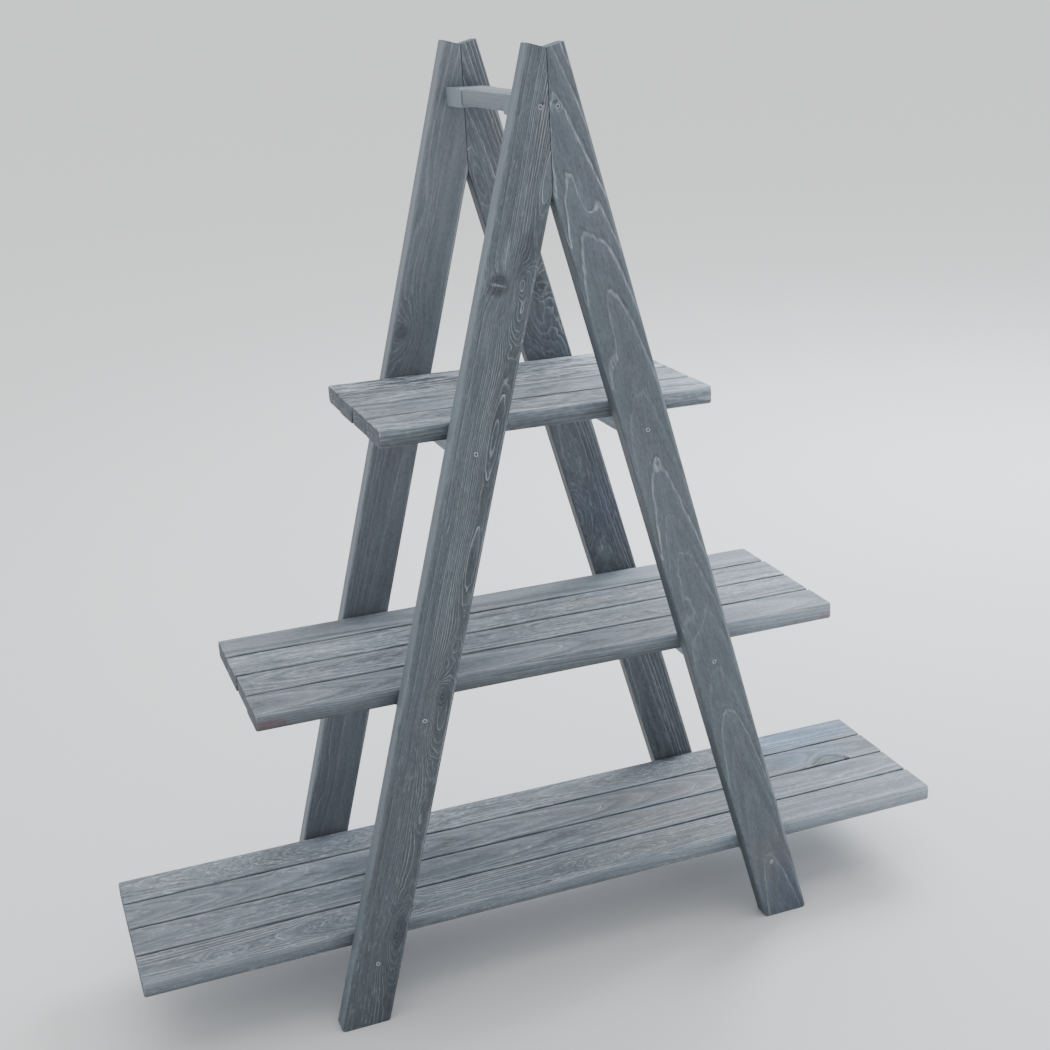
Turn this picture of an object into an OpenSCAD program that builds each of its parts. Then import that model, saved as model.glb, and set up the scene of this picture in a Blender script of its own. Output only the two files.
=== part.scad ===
// Ladder-shaped plant stand of stained softwood: two mitred A-frames carry three slatted shelves on
// cross bearers, and a cleated stretcher ties the frames together near the top.
// Origin on the floor, in the middle of the footprint. X runs along the shelves, -Y is the front.

/* [Frames] */
// Height of the outer top corners of the legs above the floor
frame_h = 1260; // [1150:10:1400]
// Lean of each leg from the vertical, in degrees
leg_lean = 15; // [12:0.5:18]
// Width of a leg, across its face
leg_w = 67.5; // [50:0.5:80]
// Thickness of a leg, front to back
leg_t = 26; // [20:1:32]
// Distance from the middle of a frame to the outer top corner of a leg
apex_half = 23.5; // [16:0.5:30]
// Gap in the mitre between the two legs of a frame
mitre_gap = 0.8; // [0.2:0.1:1.5]
// Radius on the long edges of the legs
leg_edge_r = 4; // [1:0.5:6]
// Radius on the corners of the feet
foot_r = 6; // [2:0.5:12]

/* [Shelves] */
// Length of the top shelf
top_len = 456; // [340:1:600]
// Length of the middle shelf
middle_len = 836; // [560:1:1000]
// Length of the bottom shelf
bottom_len = 1204; // [800:1:1400]
// Height of the top shelf's upper face above the floor
top_z = 818; // [700:1:880]
// Height of the middle shelf's upper face above the floor
middle_z = 473; // [380:1:600]
// Height of the bottom shelf's upper face above the floor
bottom_z = 130; // [100:1:200]
// Slats in each shelf
slats = 4; // [3:1:5]
// Width of a slat
slat_w = 66.5; // [50:0.5:80]
// Thickness of a slat
slat_t = 24; // [18:1:32]
// Gap between one slat and the next
slat_gap = 3.5; // [2:0.5:10]
// Radius on the long edges of the slats
slat_edge_r = 5; // [1:0.5:6]
// Radius on the corners of a slat, as seen from above
slat_corner_r = 4; // [1:0.5:8]
// Gap between the outer slats and the legs
side_gap = 11; // [2:0.5:20]

/* [Bearers] */
// Width of a bearer, along the shelf
bearer_w = 24; // [18:1:32]
// Height of a bearer
bearer_h = 31; // [26:1:45]
// Radius on the long edges of the bearers
bearer_edge_r = 2.5; // [1:0.5:5]

/* [Top tie] */
// Distance from the outer top corners of the legs down to the middle of the cleats
tie_drop = 72; // [50:1:110]
// Length of a cleat, along the shelves
cleat_len = 50; // [44:1:60]
// Width of the stretcher
stretcher_w = 47; // [38:1:50]
// Thickness of the stretcher
stretcher_t = 21; // [14:1:24]
// Radius on the long edges of the stretcher
stretcher_edge_r = 3; // [1:0.5:5]
// Diameter of the dowels between the stretcher and the cleats
dowel_d = 8; // [6:1:10]
// Length of a dowel
dowel_l = 40; // [30:1:50]
// Distance from the middle of the stretcher to each dowel
dowel_x = 12; // [10:0.5:13]

/* [Screws] */
// Shank diameter of the screws through the legs
leg_screw_d = 4.5; // [3.5:0.5:5]
// Head diameter of the screws through the legs
leg_head_d = 7.5; // [7:0.5:10]
// How far the leg screws bite into the bearers and cleats
leg_bite = 25; // [15:1:35]
// Height of the leg screws above the middle of the bearers
leg_screw_rise = 3; // [0:0.5:8]
// Distance from the middle of a frame to each screw into a cleat
apex_screw_x = 11; // [8:0.5:14]
// Shank diameter of the screws that hold the slats
slat_screw_d = 4; // [3.5:0.5:5]
// Head diameter of the screws that hold the slats
slat_head_d = 7.5; // [7:0.5:10]
// How far the slat screws bite into the slats
slat_bite = 14; // [8:1:20]
// Depth of the star recess in a screw head
recess_depth = 1.8; // [1:0.1:2.2]

/* [Hidden] */
SHELVES = ["top", "middle", "bottom"];
ENDS = ["left", "right"];
FACES = ["front", "back"];
LEG_NODES = [for (f = FACES, e = ENDS) str(f, "_", e, "_leg")];
CLEAT_NODES = [for (f = FACES) str(f, "_top_cleat")];
BEARER_NODES = [for (s = SHELVES, e = ENDS) str(s, "_", e, "_bearer")];
SLAT_NODES = [for (s = SHELVES, k = [1 : slats]) str(s, "_shelf_slat_", k)];
FIXING_NODES = ["top_stretcher", "stretcher_dowels", "bearer_screws", "cleat_screws", "slat_screws"];

$fn = 48;
LEG_COLOUR = [0.42, 0.46, 0.49];
SHELF_COLOUR = [0.53, 0.57, 0.61];
RAIL_COLOUR = [0.46, 0.50, 0.54];
SCREW_COLOUR = [0.62, 0.65, 0.67];
DOWEL_COLOUR = [0.80, 0.68, 0.50];

// Clearance between a screw or dowel and the wall of its hole
fixing_fit = 0.2;
// Clearance past the end of a screw or dowel in its hole
end_fit = 1;
// Depth of a screw head under the face it is driven into
head_sink = 0.3;
// Width of the star recess, as a share of the head
recess_share = 0.5;
// Length of a screw's point, in shank diameters
point_share = 1.5;
// Reach of a cut past the face it opens
over = 1;

shelf_len = [top_len, middle_len, bottom_len];
shelf_z = [top_z, middle_z, bottom_z];
slat_pitch = slat_w + slat_gap;
shelf_depth = slats * slat_w + (slats - 1) * slat_gap;
inner_depth = shelf_depth + 2 * side_gap;
stand_depth = inner_depth + 2 * leg_t;
tie_z = frame_h - tie_drop;
stretcher_z = tie_z + (slat_t - stretcher_t) / 2;
stretcher_len = inner_depth - 2 * slat_w;
leg_screw_l = leg_t - head_sink + leg_bite;
slat_screw_l = bearer_h - head_sink + slat_bite;

// Outer and inner edge and middle line of a right-hand leg at height z, as distances from the centre
function outer_x(z) = apex_half + (frame_h - z) * tan(leg_lean);
function inner_x(z) = outer_x(z) - leg_w / cos(leg_lean);
function middle_x(z) = (outer_x(z) + inner_x(z)) / 2;

function bearer_z(s) = shelf_z[s] - slat_t - bearer_h / 2;
function leg_screw_z(s) = bearer_z(s) + leg_screw_rise;
function bearer_x(s) = middle_x(leg_screw_z(s));
function slat_y(k) = -shelf_depth / 2 + slat_w / 2 + k * slat_pitch;

// Rounding of a corner between the unit directions a and b: distance of the arc's ends, and its centre
function arc_run(a, b, r) = r / tan(acos(a * b) / 2);
function arc_centre(p, a, b, r) = p + (a + b) / norm(a + b) * r / sin(acos(a * b) / 2);

// Rectangle with rounded corners, as the cross-section of a planed board has
module round_rectangle(w, h, r) {
    square([w - 2 * r, h], center = true);
    square([w, h - 2 * r], center = true);
    for (x = [-1, 1], y = [-1, 1])
        translate([x * (w / 2 - r), y * (h / 2 - r)]) circle(r = r);
}

// Board of length l along X
module board_x(l, w, h, r) {
    rotate([90, 0, 90]) linear_extrude(height = l, center = true) round_rectangle(w, h, r);
}

// Board of length l along Y
module board_y(l, w, h, r) {
    rotate([90, 0, 0]) linear_extrude(height = l, center = true) round_rectangle(w, h, r);
}

// Countersunk wood screw: the middle of its head at the origin, its point along -Z
module wood_screw(d, head_d, l) {
    head_h = (head_d - d) / 2;
    point_h = point_share * d;
    difference() {
        union() {
            translate([0, 0, -head_h]) cylinder(d1 = d, d2 = head_d, h = head_h);
            translate([0, 0, point_h - l]) cylinder(d = d, h = l - point_h - head_h);
            translate([0, 0, -l]) cylinder(d1 = 0, d2 = d, h = point_h);
        }
        translate([0, 0, -recess_depth]) linear_extrude(height = recess_depth + over)
            star_section(recess_share * head_d / 2);
    }
}

// Six-lobed star of outer radius r
module star_section(r) {
    lobe_r = r / 4;
    circle(r = r - lobe_r);
    for (a = [0 : 60 : 300]) rotate(a) translate([r - lobe_r, 0]) circle(r = lobe_r);
}

// Hole of a countersunk screw whose head lies head_sink under the face at the origin
module screw_hole(d, head_d, l) {
    hole_d = d + 2 * fixing_fit;
    mouth_d = head_d + 2 * fixing_fit;
    cone_h = (head_d - d) / 2;
    translate([0, 0, -head_sink - l - end_fit]) cylinder(d = hole_d, h = l + end_fit + head_sink + over);
    translate([0, 0, -head_sink - cone_h]) cylinder(d1 = hole_d, d2 = mouth_d, h = cone_h);
    translate([0, 0, -head_sink]) cylinder(d = mouth_d, h = head_sink + over);
}

// A screw, or its hole, driven into the front frame towards +Y at x, z
module into_front(x, z) {
    translate([x, -stand_depth / 2, z]) rotate([90, 0, 0]) children();
}

// A screw, or its hole, driven up into a shelf from under its bearer
module into_shelf(s, e, k) {
    translate([e * bearer_x(s), slat_y(k), bearer_z(s) - bearer_h / 2]) rotate([180, 0, 0]) children();
}

// What is drawn for the front right, put in the corner given by the signs of X and Y
module at_corner(e, f) {
    mirror([e < 0 ? 1 : 0, 0, 0]) mirror([0, f > 0 ? 1 : 0, 0]) children();
}

module leg_screw_hole() {
    screw_hole(leg_screw_d, leg_head_d, leg_screw_l);
}

module slat_screw_hole() {
    screw_hole(slat_screw_d, slat_head_d, slat_screw_l);
}

// Outline of the right-hand leg from the front: square top, vertical mitre, level foot, round corners
module leg_outline() {
    up = [-sin(leg_lean), cos(leg_lean)];
    outer_foot = [outer_x(0), 0];
    inner_foot = [inner_x(0), 0];
    outer_run = arc_run([-1, 0], up, foot_r);
    inner_run = arc_run([1, 0], up, foot_r);
    mitre_x = mitre_gap / 2;
    notch = [mitre_x, frame_h - (apex_half - mitre_x) * tan(leg_lean)];
    crotch = [mitre_x, frame_h - (leg_w / cos(leg_lean) - apex_half + mitre_x) / tan(leg_lean)];
    polygon([
        outer_foot - [outer_run, 0],
        outer_foot + outer_run * up,
        [apex_half, frame_h],
        notch,
        crotch,
        inner_foot + inner_run * up,
        inner_foot + [inner_run, 0]
    ]);
    translate(arc_centre(outer_foot, [-1, 0], up, foot_r)) circle(r = foot_r);
    translate(arc_centre(inner_foot, [1, 0], up, foot_r)) circle(r = foot_r);
}

// Board that the right-hand leg is cut from, leaning against the middle of the frame
module leg_board() {
    board_l = frame_h / cos(leg_lean) + 2 * over;
    translate([outer_x(0), 0, 0]) rotate([0, -leg_lean, 0]) translate([-leg_w / 2, 0, -over])
        linear_extrude(height = board_l) round_rectangle(leg_w, leg_t, leg_edge_r);
}

// Front right leg, with its screw holes
module leg() {
    color(LEG_COLOUR) difference() {
        translate([0, (leg_t - stand_depth) / 2, 0]) intersection() {
            rotate([90, 0, 0]) linear_extrude(height = leg_t + 2 * over, center = true) leg_outline();
            leg_board();
        }
        for (s = [0 : len(SHELVES) - 1]) into_front(bearer_x(s), leg_screw_z(s)) leg_screw_hole();
        into_front(apex_screw_x, tie_z) leg_screw_hole();
    }
}

// Cleat across the inner face of the front frame, screwed to both legs
module cleat() {
    color(RAIL_COLOUR) difference() {
        translate([0, (slat_w - inner_depth) / 2, tie_z]) board_x(cleat_len, slat_w, slat_t, slat_edge_r);
        for (x = [-1, 1]) into_front(x * apex_screw_x, tie_z) leg_screw_hole();
        dowel_holes();
    }
}

// Stretcher between the two cleats, level with their upper faces
module top_stretcher() {
    color(RAIL_COLOUR) difference() {
        translate([0, 0, stretcher_z]) board_y(stretcher_len, stretcher_w, stretcher_t, stretcher_edge_r);
        dowel_holes();
        mirror([0, 1, 0]) dowel_holes();
    }
}

// A dowel, or its hole, at each side of the front end of the stretcher
module at_dowels() {
    for (x = [-1, 1]) translate([x * dowel_x, -stretcher_len / 2, stretcher_z]) rotate([90, 0, 0]) children();
}

module dowel_holes() {
    at_dowels() cylinder(d = dowel_d + 2 * fixing_fit, h = dowel_l + 2 * end_fit, center = true);
}

module stretcher_dowels() {
    color(DOWEL_COLOUR) for (f = [-1, 1]) at_corner(1, f) at_dowels()
        cylinder(d = dowel_d, h = dowel_l, center = true);
}

// Bearer of shelf s at end e, screwed to a front and a back leg
module bearer(s, e) {
    color(RAIL_COLOUR) difference() {
        translate([e * bearer_x(s), 0, bearer_z(s)]) board_y(inner_depth, bearer_w, bearer_h, bearer_edge_r);
        for (f = [-1, 1]) at_corner(e, f) into_front(bearer_x(s), leg_screw_z(s)) leg_screw_hole();
        for (k = [0 : slats - 1]) into_shelf(s, e, k) slat_screw_hole();
    }
}

// Board of a slat of length l, with rounded corners as seen from above
module slat_board(l) {
    intersection() {
        board_x(l, slat_w, slat_t, slat_edge_r);
        linear_extrude(height = slat_t + 2 * over, center = true) round_rectangle(l, slat_w, slat_corner_r);
    }
}

// Slat k of shelf s, counted from the front
module slat(s, k) {
    color(SHELF_COLOUR) difference() {
        translate([0, slat_y(k), shelf_z[s] - slat_t / 2]) slat_board(shelf_len[s]);
        for (e = [-1, 1]) into_shelf(s, e, k) slat_screw_hole();
    }
}

module leg_screw() {
    color(SCREW_COLOUR) translate([0, 0, -head_sink]) wood_screw(leg_screw_d, leg_head_d, leg_screw_l);
}

// Screws through the legs into the ends of the bearers
module bearer_screws() {
    for (s = [0 : len(SHELVES) - 1], e = [-1, 1], f = [-1, 1])
        at_corner(e, f) into_front(bearer_x(s), leg_screw_z(s)) leg_screw();
}

// Screws through the legs into the cleats
module cleat_screws() {
    for (e = [-1, 1], f = [-1, 1]) at_corner(e, f) into_front(apex_screw_x, tie_z) leg_screw();
}

// Screws up through the bearers into the slats
module slat_screws() {
    color(SCREW_COLOUR) for (s = [0 : len(SHELVES) - 1], e = [-1, 1], k = [0 : slats - 1])
        into_shelf(s, e, k) translate([0, 0, -head_sink]) wood_screw(slat_screw_d, slat_head_d, slat_screw_l);
}

for (f = [0, 1], e = [0, 1])
    at_corner(2 * e - 1, 2 * f - 1) leg();
for (f = [0, 1])
    at_corner(1, 2 * f - 1) cleat();
for (s = [0 : len(SHELVES) - 1], e = [0, 1])
    bearer(s, 2 * e - 1);
for (s = [0 : len(SHELVES) - 1], k = [0 : slats - 1])
    slat(s, k);
top_stretcher();
stretcher_dowels();
bearer_screws();
cleat_screws();
slat_screws();
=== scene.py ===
"""Finish of the plant ladder stand: planed and wire-brushed softwood under a thin blue-grey stain.

Every board carries its own grain. The rings of a trunk are laid through the board as a solid pattern,
so faces, edges and sawn ends agree, and knots bend the rings round them.
"""

import math
import random
from dataclasses import dataclass, field
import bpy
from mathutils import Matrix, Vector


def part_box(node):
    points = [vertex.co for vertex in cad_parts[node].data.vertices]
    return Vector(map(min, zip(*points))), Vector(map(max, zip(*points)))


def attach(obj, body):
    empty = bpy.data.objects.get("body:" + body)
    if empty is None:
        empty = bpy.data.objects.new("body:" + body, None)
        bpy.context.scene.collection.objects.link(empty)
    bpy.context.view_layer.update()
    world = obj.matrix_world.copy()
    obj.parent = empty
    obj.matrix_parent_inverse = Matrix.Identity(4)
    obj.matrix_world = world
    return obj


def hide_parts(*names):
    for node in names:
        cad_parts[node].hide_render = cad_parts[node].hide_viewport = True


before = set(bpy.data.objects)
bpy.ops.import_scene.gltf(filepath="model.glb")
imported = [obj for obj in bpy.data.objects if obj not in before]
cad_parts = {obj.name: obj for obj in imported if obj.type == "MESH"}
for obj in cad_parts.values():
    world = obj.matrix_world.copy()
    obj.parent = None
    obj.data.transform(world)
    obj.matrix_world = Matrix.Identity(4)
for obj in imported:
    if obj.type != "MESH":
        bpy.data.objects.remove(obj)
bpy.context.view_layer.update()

from types import SimpleNamespace

import bpy
from mathutils import Matrix, Vector

# ---------------------------------------------------------------- measures, in metres

LEAN = math.radians(15.0)
LEG_WIDTH = 0.0675
LEG_THICKNESS = 0.026
LEG_EDGE = 0.004
SLAT_EDGE = 0.005
RAIL_EDGE = 0.003

SHELVES = ("top", "middle", "bottom")
SIDES = ("left", "right")
FACES = ("front", "back")
SLATS = (1, 2, 3, 4)  # from the front of a shelf to its back


class Board:
    """A board's own frame: x runs along it, y across its face and z through its thickness."""

    def __init__(self, name, centre, along, across, size, edge, kind):
        self.name = name
        self.centre = Vector(centre)
        self.along = Vector(along).normalized()
        self.across = Vector(across).normalized()
        self.through = self.along.cross(self.across)
        self.length, self.width, self.thickness = size
        self.edge = edge
        self.kind = kind

    def turn(self):
        """Rotation from the stand's frame into the board's."""
        return Matrix((self.along, self.across, self.through))

    def shift(self):
        return -(self.turn() @ self.centre)


def straight_board(name, along, across, edge, kind):
    low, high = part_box(name)
    size = high - low
    through = Vector(along).cross(Vector(across))
    spans = [abs(size.dot(Vector(axis))) for axis in (along, across, through)]
    return Board(name, (low + high) / 2, along, across, spans, edge, kind)


def leg_board(name, side):
    """A leg's frame starts on the floor, in the middle of its foot, and leans towards the apex."""
    low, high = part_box(name)
    foot_width = LEG_WIDTH / math.cos(LEAN)
    outer = high.x if side > 0 else low.x
    foot = Vector((outer - side * foot_width / 2, (low.y + high.y) / 2, 0.0))
    along = Vector((-side * math.sin(LEAN), 0.0, math.cos(LEAN)))
    across = Vector((math.cos(LEAN), 0.0, side * math.sin(LEAN)))
    length = high.z / math.cos(LEAN)
    return Board(name, foot, along, across, (length, LEG_WIDTH, LEG_THICKNESS), LEG_EDGE, "leg")


def all_boards():
    x, y, z = Vector((1, 0, 0)), Vector((0, 1, 0)), Vector((0, 0, 1))
    boards = [leg_board(f"{face}_{side}_leg", 1 if side == "right" else -1)
              for face in FACES for side in SIDES]
    boards += [straight_board(f"{shelf}_shelf_slat_{k}", x, y, SLAT_EDGE, "slat")
               for shelf in SHELVES for k in SLATS]
    boards += [straight_board(f"{shelf}_{side}_bearer", y, z, RAIL_EDGE, "rail")
               for shelf in SHELVES for side in SIDES]
    boards += [straight_board(f"{face}_top_cleat", x, y, SLAT_EDGE, "rail") for face in FACES]
    boards.append(straight_board("top_stretcher", y, -x, RAIL_EDGE, "rail"))
    return {board.name: board for board in boards}


# ---------------------------------------------------------------- laying out nodes

LUMPS = {  # the lumps of each noise, per metre along, across and through a board
    "far wander": (7.0, 30.0, 30.0),
    "near wander": (50.0, 110.0, 110.0),
    "knot ripple": (60.0, 90.0, 90.0),
    "ragged edge": (30.0, 140.0, 140.0),
    "rubbed spots": (9.0, 90.0, 90.0),
    "cloud": (3.5, 16.0, 16.0),
    "broad streak": (11.0, 120.0, 120.0),
    "narrow streak": (42.0, 520.0, 520.0),
    "ripple": (170.0, 420.0, 420.0),
    "torn": (60.0, 330.0, 330.0),
    "areas": (7.0, 34.0, 34.0),
    "vein": (4.0, 120.0, 120.0),
    "open veins": (9.0, 60.0, 60.0),
    "dashes": (42.0, 430.0, 430.0),
    "hue": (6.0, 40.0, 40.0),
    "warmth": (4.0, 18.0, 18.0),
    "mottle": (900.0, 900.0, 900.0),
}


class Wire:
    """A value on its way between nodes. Arithmetic on wires lays the Math nodes for it."""

    def __init__(self, sheet, socket):
        self.sheet = sheet
        self.socket = socket

    def __add__(self, other):
        return self.sheet.math("ADD", self, other)

    def __sub__(self, other):
        return self.sheet.math("SUBTRACT", self, other)

    def __rsub__(self, other):
        return self.sheet.math("SUBTRACT", other, self)

    def __mul__(self, other):
        return self.sheet.math("MULTIPLY", self, other)

    def __truediv__(self, other):
        return self.sheet.math("DIVIDE", self, other)

    def __rtruediv__(self, other):
        return self.sheet.math("DIVIDE", other, self)

    def __abs__(self):
        return self.sheet.math("ABSOLUTE", self)

    __radd__ = __add__
    __rmul__ = __mul__


class Sheet:
    """One node tree, of a finish or of a shape, while its nodes are laid out and wired."""

    def __init__(self, tree):
        self.tree = tree

    def node(self, kind, inputs=None, **settings):
        made = self.tree.nodes.new(kind)
        for name, value in settings.items():
            setattr(made, name, value)
        self.feed(made, inputs or {})
        return made

    def feed(self, node, inputs):
        for key, value in inputs.items():
            self.plug(node.inputs[key], value)

    def plug(self, socket, value):
        if isinstance(value, Wire):
            self.tree.links.new(value.socket, socket)
        else:
            socket.default_value = value

    def out(self, made, key=0):
        return Wire(self, made.outputs[key])

    def lay(self, kind, inputs=None, **settings):
        """A new node's first output."""
        return self.out(self.node(kind, inputs, **settings))

    def math(self, operation, *values):
        return self.lay("ShaderNodeMath", dict(enumerate(values)), operation=operation)

    def vector_math(self, operation, *values, key=0):
        made = self.node("ShaderNodeVectorMath", dict(enumerate(values)), operation=operation)
        return self.out(made, key)

    def root(self, value):
        return self.math("SQRT", value)

    def larger(self, first, second):
        return self.math("MAXIMUM", first, second)

    def vector(self, x, y, z):
        return self.lay("ShaderNodeCombineXYZ", {0: x, 1: y, 2: z})

    def split(self, vector):
        made = self.node("ShaderNodeSeparateXYZ", {0: vector})
        return [self.out(made, k) for k in range(3)]

    def smooth(self, value, low, high):
        """0 below low, 1 above high, and a smooth rise between them. High may lie below low."""
        inputs = {"Value": value, "From Min": low, "From Max": high}
        return self.lay("ShaderNodeMapRange", inputs, interpolation_type="SMOOTHSTEP")

    def spread(self, value, low, high):
        """A noise value from 0 to 1, spread over low to high."""
        return self.math("MULTIPLY_ADD", value, high - low, low)

    def swing(self, value, reach):
        """A noise value from 0 to 1, spread over reach to both sides of 0."""
        return self.spread(value, -reach, reach)

    def noise_node(self, place, lumps, seed, detail, **shape):
        scaled = self.vector_math("MULTIPLY", place, LUMPS[lumps])
        inputs = {"Vector": scaled, "W": seed, "Scale": 1.0, "Detail": detail, **shape}
        return self.node("ShaderNodeTexNoise", inputs, noise_dimensions="4D")

    def noise(self, place, lumps, seed, detail=2.0, roughness=0.5, distortion=0.0):
        """Noise from 0 to 1."""
        shape = {"Roughness": roughness, "Distortion": distortion}
        return self.out(self.noise_node(place, lumps, seed, detail, **shape))

    def noise_vector(self, place, lumps, seed, detail=2.0):
        """Noise along all three axes, from about -0.5 to 0.5."""
        made = self.noise_node(place, lumps, seed, detail)
        return self.vector_math("SUBTRACT", self.out(made, "Color"), (0.5, 0.5, 0.5))

    def sway(self, value, seed, detail=1.0):
        """Noise from 0 to 1 along a line."""
        inputs = {"W": value + seed, "Scale": 1.0, "Detail": detail, "Roughness": 0.5}
        return self.lay("ShaderNodeTexNoise", inputs, noise_dimensions="1D")

    def chance(self, value):
        """A random number from 0 to 1 for each whole number."""
        return self.lay("ShaderNodeTexWhiteNoise", {"W": value}, noise_dimensions="1D")

    def blend(self, share, first, second, mode="MIX"):
        made = self.node("ShaderNodeMix", data_type="RGBA", blend_type=mode)
        for key, value in (("Factor_Float", share), ("A_Color", first), ("B_Color", second)):
            socket = next(s for s in made.inputs if s.identifier == key)
            self.plug(socket, value)
        result = next(s for s in made.outputs if s.identifier == "Result_Color")
        return Wire(self, result)

    def darken(self, colour, shade):
        """The colour times a shade, which is a number or another colour."""
        return self.blend(1.0, colour, shade, "MULTIPLY")

    def grey(self, value):
        return self.vector(value, value, value)

    def group(self, tree, inputs):
        made = self.node("ShaderNodeGroup", None, node_tree=tree)
        self.feed(made, inputs)
        return {socket.name: Wire(self, socket) for socket in made.outputs}


KINDS = {"Place": "Vector", "Facing": "Vector", "Fibre place": "Vector", "Colour": "Color", "Tint": "Color",
         "Stain": "Color", "Pale line": "Color", "Geometry": "Geometry", "Finish": "Material",
         "Spin seed": "Int"}


def value_name(label):
    """The name in code of what a socket's label names."""
    return label.lower().replace(" ", "_")


def start_group(name, inputs, outputs, kind_of_tree="ShaderNodeTree"):
    """A node group; inputs and outputs are its sockets' labels. All are Float that aren't in KINDS."""
    tree = bpy.data.node_groups.new(name, kind_of_tree)
    for in_out, labels in (("INPUT", inputs), ("OUTPUT", outputs)):
        for label in labels.split(", "):
            kind = "NodeSocket" + KINDS.get(label, "Float")
            tree.interface.new_socket(label, in_out=in_out, socket_type=kind)
    sheet = Sheet(tree)
    entry = tree.nodes.new("NodeGroupInput")
    leaving = tree.nodes.new("NodeGroupOutput")
    wires = {value_name(label): Wire(sheet, entry.outputs[label]) for label in inputs.split(", ")}
    return sheet, SimpleNamespace(**wires), leaving


# ---------------------------------------------------------------- what the finishes share

LINE_AT = 0.7  # how far through a year's growth its pale line lies
SHARPEST = 1.004  # keeps a line a little wide where the rings run square to the face
EVEN_SHARE = 0.25  # of a line's strength is the same in every year; chance sets the rest


def warp(sheet, place, seed, coarse, fine):
    """The place moved about by two sizes of wandering, as fibres do."""
    far = sheet.noise_vector(place, "far wander", seed)
    near = sheet.noise_vector(place, "near wander", seed + 3.0)
    moved_far = sheet.vector_math("MULTIPLY_ADD", far, sheet.vector(0.0, coarse, coarse), place)
    return sheet.vector_math("MULTIPLY_ADD", near, sheet.vector(0.0, fine, fine), moved_far)


def ring_group():
    """Growth rings of a trunk whose heart runs beside the board, wavering along it."""
    sheet, into, leaving = start_group(
        "growth_rings",
        "Place, Facing, Heart across, Heart depth, Drift, Swell, Pace, Ring, Waver, Jitter, Line width, "
        "Faint, Push, Seed",
        "Line, Groove, Band, Year, Fibre place")
    seed = into.seed
    along, across, deep = sheet.split(warp(sheet, into.place, seed, into.waver, into.jitter))
    swell = sheet.swing(sheet.sway(along * into.pace, seed, 2.0), 1.0) * into.swell
    bend = sheet.swing(sheet.sway(along * into.pace, seed + 17.0), 1.0) * into.swell
    off_across = across - into.heart_across - bend
    off_deep = deep - into.heart_depth - along * into.drift - swell
    outward = sheet.vector(off_deep * into.drift * -1.0, off_across, off_deep)
    radius = sheet.vector_math("LENGTH", outward, key="Value")
    climb = sheet.vector_math("DOT_PRODUCT", outward, into.facing, key="Value") / radius
    slope = sheet.root(SHARPEST - climb * climb)
    pushed = radius + into.push
    age = pushed / into.ring
    age = age + sheet.sway(age * 0.31, seed + 5.0) * 1.8
    share = sheet.math("FRACT", age)
    year = sheet.chance(sheet.math("FLOOR", age) + seed)
    half_line = into.line_width * slope / into.ring
    line = sheet.smooth(abs(share - LINE_AT), half_line, half_line * 0.3)
    groove_at = sheet.math("MINIMUM", half_line * 1.6 + LINE_AT, 0.9)
    # the grooves beside the lines, also darkened in the colour as painted shadow
    groove = sheet.smooth(abs(share - groove_at), half_line, half_line * 0.2)
    band = sheet.smooth(share, 0.1, LINE_AT) * sheet.smooth(share, 1.0, 0.8)
    strength = (sheet.smooth(year, into.faint, 1.0) * (1.0 - EVEN_SHARE)
                + (1.0 - into.faint) * EVEN_SHARE)
    sheet.feed(leaving, {
        "Line": line * strength, "Groove": groove * strength, "Band": band, "Year": year,
        "Fibre place": sheet.vector(along, pushed * 0.7, across + deep * 0.8)})
    return sheet.tree


def knot_group():
    """One knot: the rings bend round it, and its heart is darker, with a rim. Calls are chained."""
    sheet, into, leaving = start_group(
        "knot", "Place, Along, Across, Radius, Long, Reach, Bulge, Dark, Push, Heart, Rim, Seed",
        "Push, Heart, Rim")
    along, across, _ = sheet.split(into.place)
    ripple = sheet.swing(sheet.noise(into.place, "knot ripple", into.seed, 1.0), 0.25)
    x = (along - into.along) / into.long
    y = across - into.across
    distance = sheet.root(x * x + y * y) * (ripple + 1.0)
    radius = into.radius
    near = distance / into.reach
    push = into.bulge * sheet.math("EXPONENT", near * near * -1.0)
    inside = sheet.smooth(distance, radius, radius * 0.8)
    rings = sheet.smooth(sheet.math("PINGPONG", distance / radius * 3.0, 0.5), 0.25, 0.5)
    heart = inside * (rings * 0.35 + 0.65) * into.dark
    rim = sheet.smooth(distance, radius * 1.25, radius) * sheet.smooth(distance, radius * 0.72, radius * 0.95)
    rim = rim * (1.0 - into.dark * 0.7)
    sheet.feed(leaving, {
        "Push": into.push + push, "Heart": sheet.larger(into.heart, heart),
        "Rim": sheet.larger(into.rim, rim)})
    return sheet.tree


def patch_group():
    """A soft, ragged spot where the wood took the stain differently; some spots are painted sheen and painted
    shadow. Calls are chained.
    """
    sheet, into, leaving = start_group(
        "stain_patch",
        "Colour, Tint, Place, Along, Across, Depth, Depth share, Reach, Long, Ragged, Seed", "Colour")
    along, across, deep = sheet.split(into.place)
    x = (along - into.along) / into.long
    y = across - into.across
    z = (deep - into.depth) * into.depth_share
    ragged = sheet.swing(sheet.noise(into.place, "ragged edge", into.seed, 3.0, 0.6), 2.0)
    distance = sheet.root(x * x + y * y + z * z) / into.reach + ragged * into.ragged
    share = sheet.smooth(distance, 1.15, 0.55)
    sheet.feed(leaving, {"Colour": sheet.blend(share, into.colour, into.tint, "MULTIPLY")})
    return sheet.tree


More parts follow.
